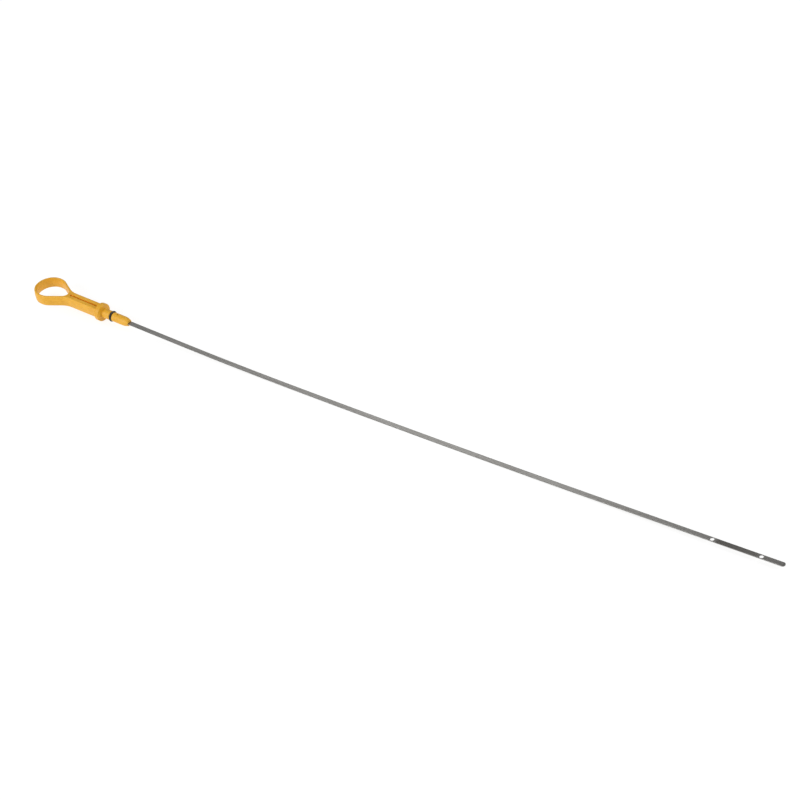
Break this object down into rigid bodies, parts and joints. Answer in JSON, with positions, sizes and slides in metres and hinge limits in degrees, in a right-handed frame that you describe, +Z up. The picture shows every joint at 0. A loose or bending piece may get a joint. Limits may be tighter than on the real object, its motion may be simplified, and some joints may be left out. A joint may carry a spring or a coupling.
{
  "type": "engine oil dipstick",
  "caption": "Moulded finger-loop handle with a sealed spigot on a long sprung steel blade that shows the oil level in an engine.",
  "frame": {"origin": "centre of the resting stick's footprint, on the surface that it lies on", "axes": "+X along the stick from the finger loop to the tip, +Z up from the surface, +Y across the blade"},
  "size_m": [0.746, 0.0292, 0.0164],
  "materials": {
    "handle_plastic": "moulded, satin gloss, orange-yellow",
    "seal_rubber": "smooth moulded rubber",
    "blade_steel": "drawn spring strip, dull grey"
  },
  "bodies": {
    "root": {"handle": "handle_plastic", "seal_ring": "seal_rubber", "blade": "blade_steel"}
  },
  "joints": []
}
